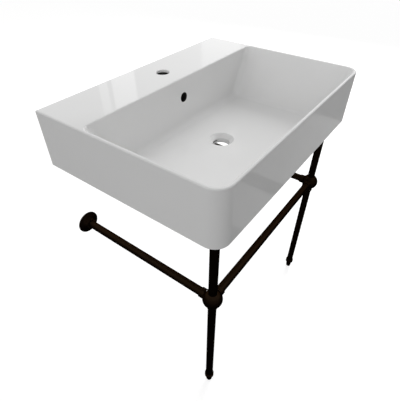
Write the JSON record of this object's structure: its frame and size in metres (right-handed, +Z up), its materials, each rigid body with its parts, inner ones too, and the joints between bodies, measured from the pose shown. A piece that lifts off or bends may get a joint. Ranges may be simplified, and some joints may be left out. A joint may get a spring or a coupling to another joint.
{
  "type": "console sink",
  "caption": "Rectangular ceramic console basin with a tap deck and deep sloping bowl, hung on the wall and carried in front by a dark tubular stand with levelling feet.",
  "frame": {"origin": "on the wall plane, midway between the basin's two wall bolt holes, 65 mm below the rim", "axes": "+Z up, +Y into the wall, the front faces -Y, +X to the right seen from the front"},
  "size_m": [0.686, 0.499, 0.822],
  "materials": {
    "ceramic": "gloss",
    "bronze": "satin",
    "steel": "satin",
    "brass_insert": "satin",
    "rubber": "matte",
    "cap_plastic": "matte",
    "glide_plastic": "matte"
  },
  "bodies": {
    "root": {"basin": "ceramic", "front_rail": "bronze", "grub_screws": "steel", "upper_leg_left": "bronze", "upper_leg_right": "bronze", "lower_leg_left": "bronze", "lower_leg_right": "bronze", "ball_joint_left": "bronze", "ball_joint_right": "bronze", "side_rail_left": "bronze", "side_rail_right": "bronze", "wall_plate_left": "steel", "wall_plate_right": "steel", "leg_cap_left": "cap_plastic", "leg_cap_right": "cap_plastic", "leg_cushion_left": "rubber", "leg_cushion_right": "rubber", "foot_collar_left": "bronze", "foot_collar_right": "bronze", "foot_insert_left": "brass_insert", "foot_insert_right": "brass_insert"},
    "flange_left": {"wall_flange_left": "bronze", "flange_ring_left": "rubber"},
    "glide_left": {"foot_glide_left": "glide_plastic"},
    "foot_left": {"foot_tip_left": "bronze", "foot_stem_left": "steel"},
    "flange_right": {"wall_flange_right": "bronze", "flange_ring_right": "rubber"},
    "glide_right": {"foot_glide_right": "glide_plastic"},
    "foot_right": {"foot_tip_right": "bronze", "foot_stem_right": "steel"}
  },
  "joints": [
    {"name": "flange_slide_left", "type": "slide", "parent": "root", "child": "flange_left", "axis": [0, -1, 0], "range_m": [0, 0.4]},
    {"name": "foot_height_left", "type": "slide", "parent": "root", "child": "glide_left", "axis": [0, 0, -1], "range_m": [-0.012, 0.012]},
    {"name": "foot_screw_left", "type": "hinge", "parent": "glide_left", "child": "foot_left", "pos_m": [-0.293, -0.456, -0.757], "axis": [0, 0, -1], "range_deg": [-3460, 3460]},
    {"name": "flange_slide_right", "type": "slide", "parent": "root", "child": "flange_right", "axis": [0, -1, 0], "range_m": [0, 0.4]},
    {"name": "foot_height_right", "type": "slide", "parent": "root", "child": "glide_right", "axis": [0, 0, -1], "range_m": [-0.012, 0.012]},
    {"name": "foot_screw_right", "type": "hinge", "parent": "glide_right", "child": "foot_right", "pos_m": [0.293, -0.456, -0.757], "axis": [0, 0, -1], "range_deg": [-3460, 3460]}
  ],
  "couplings": [
    {"joint": "foot_screw_left", "follows": "foot_height_left", "rad_per_m": 5026.5},
    {"joint": "foot_screw_right", "follows": "foot_height_right", "rad_per_m": 5026.5}
  ]
}
